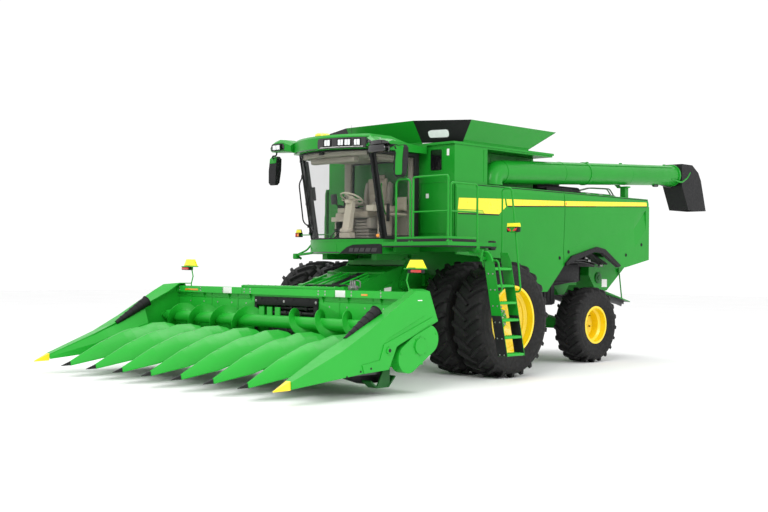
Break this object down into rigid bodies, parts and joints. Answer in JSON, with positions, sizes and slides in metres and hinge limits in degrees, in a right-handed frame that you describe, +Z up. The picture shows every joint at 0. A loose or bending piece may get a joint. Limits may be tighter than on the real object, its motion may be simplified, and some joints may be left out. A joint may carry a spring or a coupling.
{
  "type": "combine harvester",
  "caption": "Self-propelled grain combine with twin front wheels, glazed cab, open grain tank, folded unloading auger and a wide corn header.",
  "frame": {"origin": "on the ground, under the middle of the whole machine's bounding box", "axes": "+Z up, the front of the machine faces -Y, +X is the machine's left side"},
  "size_m": [6.38, 13.68, 4.3742],
  "materials": {
    "green": "gloss",
    "header_green": "gloss",
    "yellow": "gloss",
    "dark_steel": "satin",
    "black_plastic": "matte",
    "tyre": "matte",
    "glass": "clear",
    "seat_fabric": "woven",
    "lamp_amber": "gloss",
    "bright_rod": "polished"
  },
  "bodies": {
    "machine": {"main_frame": "green", "front_axle": "green", "rear_axle": "green", "separator_housing": "green", "engine": "dark_steel", "grain_tank": "green", "tank_corner_panels": "black_plastic", "rear_hood": "green", "chopper_housing": "green", "tailboard": "dark_steel", "auger_riser": "green", "cab_floor": "green", "cab_frame": "green", "cab_glass": "glass", "cab_roof": "green", "driver_seat": "seat_fabric", "cab_console": "black_plastic", "mirrors": "black_plastic", "platform": "green", "platform_rails": "green", "ladder_bracket": "green", "right_marker": "lamp_amber"},
    "left_dual_wheel": {"left_dual_tyres": "tyre", "left_dual_rims": "yellow"},
    "right_dual_wheel": {"right_dual_tyres": "tyre", "right_dual_rims": "yellow"},
    "left_knuckle": {"left_knuckle": "green"},
    "right_knuckle": {"right_knuckle": "green"},
    "tie_rod": {"tie_rod": "green"},
    "left_rear_wheel": {"left_rear_tyre": "tyre", "left_rear_rim": "yellow"},
    "right_rear_wheel": {"right_rear_tyre": "tyre", "right_rear_rim": "yellow"},
    "left_front_panel": {"left_front_panel": "green"},
    "left_rear_panel": {"left_rear_panel": "green"},
    "right_front_panel": {"right_front_panel": "green"},
    "right_rear_panel": {"right_rear_panel": "green"},
    "front_flap": {"front_flap": "green"},
    "rear_flap": {"rear_flap": "green"},
    "left_flap": {"left_flap": "green"},
    "right_flap": {"right_flap": "green"},
    "cab_door": {"cab_door": "green", "door_glass": "glass"},
    "ladder": {"ladder": "green"},
    "unloading_auger": {"auger_tube": "green", "auger_spout": "black_plastic"},
    "header": {"feeder_house": "header_green", "header_frame": "header_green", "divider_snouts": "header_green", "divider_hoods": "header_green", "divider_points": "yellow", "end_shields": "header_green", "end_drives": "header_green", "row_units": "dark_steel", "ear_savers": "black_plastic", "header_lights": "lamp_amber"},
    "cross_auger": {"cross_auger": "header_green"},
    "chopper_rotor": {"chopper_rotor": "dark_steel"},
    "lift_barrels": {"lift_barrels": "green"},
    "lift_rods": {"lift_rods": "bright_rod"}
  },
  "joints": [
    {"name": "left_dual_spin", "type": "hinge", "parent": "machine", "child": "left_dual_wheel", "pos_m": [1.524, -1.2, 0.97], "axis": [1, 0, 0], "continuous": true},
    {"name": "right_dual_spin", "type": "hinge", "parent": "machine", "child": "right_dual_wheel", "pos_m": [-1.524, -1.2, 0.97], "axis": [1, 0, 0], "continuous": true},
    {"name": "left_steer", "type": "hinge", "parent": "machine", "child": "left_knuckle", "pos_m": [0.96, 2.58, 0.735], "axis": [0, 0, 1], "range_deg": [-30, 30]},
    {"name": "right_steer", "type": "hinge", "parent": "machine", "child": "right_knuckle", "pos_m": [-0.96, 2.58, 0.735], "axis": [0, 0, 1], "range_deg": [-30, 30]},
    {"name": "tie_rod_pivot", "type": "hinge", "parent": "left_knuckle", "child": "tie_rod", "pos_m": [0.96, 2.84, 0.635], "axis": [0, 0, 1], "range_deg": [-30, 30]},
    {"name": "left_rear_spin", "type": "hinge", "parent": "left_knuckle", "child": "left_rear_wheel", "pos_m": [1.4, 2.58, 0.735], "axis": [1, 0, 0], "continuous": true},
    {"name": "right_rear_spin", "type": "hinge", "parent": "right_knuckle", "child": "right_rear_wheel", "pos_m": [-1.4, 2.58, 0.735], "axis": [1, 0, 0], "continuous": true},
    {"name": "left_front_panel_hinge", "type": "hinge", "parent": "machine", "child": "left_front_panel", "pos_m": [1.6, -0.05, 3.284], "axis": [0, -1, 0], "range_deg": [0, 70]},
    {"name": "left_rear_panel_hinge", "type": "hinge", "parent": "machine", "child": "left_rear_panel", "pos_m": [1.6, 3, 3.284], "axis": [0, -1, 0], "range_deg": [0, 70]},
    {"name": "right_front_panel_hinge", "type": "hinge", "parent": "machine", "child": "right_front_panel", "pos_m": [-1.6, -0.05, 3.284], "axis": [0, 1, 0], "range_deg": [0, 70]},
    {"name": "right_rear_panel_hinge", "type": "hinge", "parent": "machine", "child": "right_rear_panel", "pos_m": [-1.6, 3, 3.284], "axis": [0, 1, 0], "range_deg": [0, 70]},
    {"name": "left_flap_hinge", "type": "hinge", "parent": "machine", "child": "left_flap", "pos_m": [1.56, -0.455, 4.0043], "axis": [0, -1, 0], "range_deg": [0, 115], "deforming": ["tank_corner_panels"]},
    {"name": "right_flap_hinge", "type": "hinge", "parent": "machine", "child": "right_flap", "pos_m": [-1.56, -0.455, 4.0043], "axis": [0, 1, 0], "range_deg": [0, 115]},
    {"name": "front_flap_hinge", "type": "hinge", "parent": "machine", "child": "front_flap", "pos_m": [0, -1.63, 4.0043], "axis": [-1, 0, 0], "range_deg": [0, 115]},
    {"name": "rear_flap_hinge", "type": "hinge", "parent": "machine", "child": "rear_flap", "pos_m": [0, 0.765, 4.0043], "axis": [1, 0, 0], "range_deg": [0, 115]},
    {"name": "cab_door_hinge", "type": "hinge", "parent": "machine", "child": "cab_door", "pos_m": [0.914, -1.834, 3], "axis": [0, 0, 1], "range_deg": [0, 75]},
    {"name": "ladder_swing", "type": "hinge", "parent": "machine", "child": "ladder", "pos_m": [2.65, -2.16, 2.01], "axis": [0, 0, 1], "range_deg": [-90, 0]},
    {"name": "auger_swing", "type": "hinge", "parent": "machine", "child": "unloading_auger", "pos_m": [1.42, -0.44, 3.312], "axis": [0, 0, -1], "range_deg": [0, 100]},
    {"name": "header_lift", "type": "hinge", "parent": "machine", "child": "header", "pos_m": [0, -1.96, 1.55], "axis": [-1, 0, 0], "range_deg": [-1.5, 24]},
    {"name": "lift_barrel_pivot", "type": "hinge", "parent": "machine", "child": "lift_barrels", "pos_m": [0, -1.62, 0.76], "axis": [-1, 0, 0], "range_deg": [-1.57, 17.61]},
    {"name": "lift_rod_slide", "type": "slide", "parent": "lift_barrels", "child": "lift_rods", "axis": [0, -0.9983, 0.0587], "range_m": [-0.0236, 0.3031]},
    {"name": "cross_auger_spin", "type": "hinge", "parent": "header", "child": "cross_auger", "pos_m": [0, -4.31, 0.93], "axis": [1, 0, 0], "continuous": true},
    {"name": "chopper_spin", "type": "hinge", "parent": "machine", "child": "chopper_rotor", "pos_m": [0, 3.59, 1.65], "axis": [1, 0, 0], "continuous": true}
  ],
  "couplings": [
    {"joint": "right_steer", "follows": "left_steer", "ratio": 1},
    {"joint": "tie_rod_pivot", "follows": "left_steer", "ratio": -1},
    {"joint": "right_flap_hinge", "follows": "left_flap_hinge", "ratio": 1},
    {"joint": "front_flap_hinge", "follows": "left_flap_hinge", "ratio": 1},
    {"joint": "rear_flap_hinge", "follows": "left_flap_hinge", "ratio": 1},
    {"joint": "lift_barrel_pivot", "follows": "header_lift", "ratio": 0.71285},
    {"joint": "lift_rod_slide", "follows": "header_lift", "m_per_rad": 0.7116}
  ]
}
